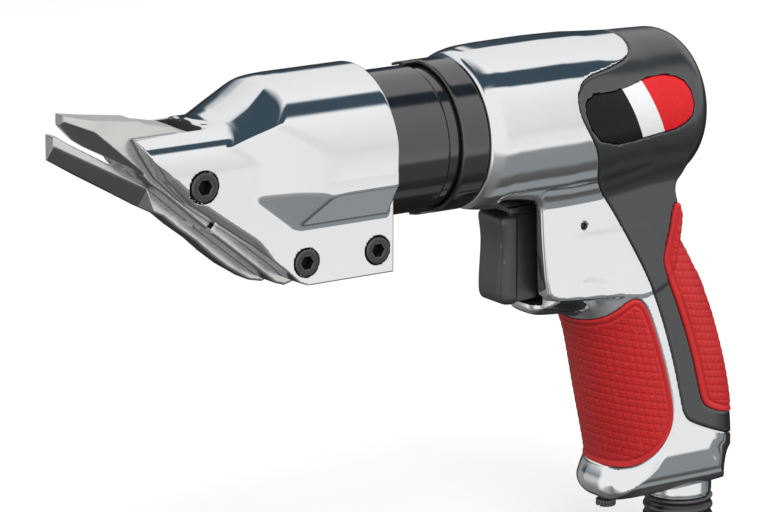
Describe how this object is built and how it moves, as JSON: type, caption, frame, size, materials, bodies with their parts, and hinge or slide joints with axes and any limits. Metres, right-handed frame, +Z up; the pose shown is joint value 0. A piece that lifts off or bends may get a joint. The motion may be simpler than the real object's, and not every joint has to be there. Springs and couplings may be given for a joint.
{
  "type": "pneumatic metal shear",
  "caption": "Pistol-grip air shear with a polished head, two blades swinging on a pivot bolt, black collars, a trigger and red ribbed grips.",
  "frame": {"origin": "where the barrel axis meets the flat rear face of the rear cover", "axes": "+X back along the barrel axis, away from the blades; +Z up, handle towards -Z; +Y is the tool's right side, away from the screw heads"},
  "size_m": [0.228, 0.0486, 0.1599],
  "materials": {
    "polished": "polished die-cast aluminium, near mirror",
    "ground_steel": "ground tool steel with fine parallel grinding lines",
    "black_oxide": "black oxide, satin",
    "black_gloss": "gloss black, turned",
    "soft_black": "dark grey soft-touch overmould",
    "badge": "printed plastic plate with plain colour panels, no lettering",
    "red_grip": "red rubber with a fine raised diamond grid",
    "trigger": "black moulded plastic, satin",
    "steel": "machined steel",
    "bronze": "sintered bronze",
    "vane": "phenolic laminate",
    "seal": "black rubber",
    "felt": "dense felt"
  },
  "bodies": {
    "tool_body": {"shear_head": "polished", "fixed_blade": "ground_steel", "blade_spacer": "ground_steel", "pivot_bushing": "bronze", "pivot_screw": "black_oxide", "clamp_screw_front": "black_oxide", "clamp_screw_rear": "black_oxide", "pivot_nut": "black_oxide", "clamp_nut_front": "black_oxide", "clamp_nut_rear": "black_oxide", "gear_case": "black_gloss", "barrel_clamp_nut": "black_gloss", "motor_housing": "polished", "rear_cover": "soft_black", "front_grip": "red_grip", "rear_grip": "red_grip", "badge_near": "badge", "badge_far": "badge", "valve_bushing": "bronze", "valve_seal": "seal", "trigger_pin": "black_oxide", "motor_cylinder": "steel", "front_end_plate": "steel", "rear_end_plate": "steel", "front_rotor_bearing": "steel", "rear_rotor_bearing": "steel", "ring_gear": "steel", "spindle_bearing": "steel", "inlet_bushing": "black_oxide", "inlet_ring": "polished", "silencer_felt": "felt"},
    "rotor": {"rotor": "steel", "vane_1": "vane", "vane_2": "vane", "vane_3": "vane", "vane_4": "vane"},
    "drive_spindle": {"drive_spindle": "steel", "planet_pin_1": "steel", "planet_pin_2": "steel", "planet_pin_3": "steel"},
    "planet_1": {"planet_gear_1": "steel"},
    "planet_2": {"planet_gear_2": "steel"},
    "planet_3": {"planet_gear_3": "steel"},
    "eccentric_roller": {"eccentric_roller": "steel"},
    "moving_blade": {"moving_blade": "ground_steel"},
    "trigger": {"trigger": "trigger", "valve_stem": "steel", "valve_spring": "steel"},
    "regulator_knob": {"regulator_knob": "black_oxide"}
  },
  "joints": [
    {"name": "rotor_spin", "type": "hinge", "parent": "tool_body", "child": "rotor", "pos_m": [-0.0605, 0, 0], "axis": [1, 0, 0], "continuous": true},
    {"name": "spindle_spin", "type": "hinge", "parent": "tool_body", "child": "drive_spindle", "pos_m": [-0.1155, 0, 0], "axis": [1, 0, 0], "continuous": true},
    {"name": "planet_1_spin", "type": "hinge", "parent": "drive_spindle", "child": "planet_1", "pos_m": [-0.1005, 0, 0.0096], "axis": [1, 0, 0], "continuous": true},
    {"name": "planet_2_spin", "type": "hinge", "parent": "drive_spindle", "child": "planet_2", "pos_m": [-0.1005, -0.00831, -0.0048], "axis": [1, 0, 0], "continuous": true},
    {"name": "planet_3_spin", "type": "hinge", "parent": "drive_spindle", "child": "planet_3", "pos_m": [-0.1005, 0.00831, -0.0048], "axis": [1, 0, 0], "continuous": true},
    {"name": "roller_spin", "type": "hinge", "parent": "drive_spindle", "child": "eccentric_roller", "pos_m": [-0.1285, 0, -0.0017], "axis": [1, 0, 0], "continuous": true},
    {"name": "blade_swing", "type": "hinge", "parent": "tool_body", "child": "moving_blade", "pos_m": [-0.1725, 0, -0.0007], "axis": [0, -1, 0], "range_deg": [0, 4]},
    {"name": "trigger_slide", "type": "slide", "parent": "tool_body", "child": "trigger", "axis": [1, 0, 0], "range_m": [0, 0.005]},
    {"name": "regulator_turn", "type": "hinge", "parent": "tool_body", "child": "regulator_knob", "pos_m": [-0.0225, 0, -0.119], "axis": [0, 0, 1], "range_deg": [0, 270]}
  ],
  "couplings": [
    {"joint": "spindle_spin", "follows": "rotor_spin", "ratio": 0.25},
    {"joint": "planet_1_spin", "follows": "rotor_spin", "ratio": -0.75},
    {"joint": "planet_2_spin", "follows": "rotor_spin", "ratio": -0.75},
    {"joint": "planet_3_spin", "follows": "rotor_spin", "ratio": -0.75},
    {"joint": "roller_spin", "follows": "rotor_spin", "ratio": -0.25}
  ]
}
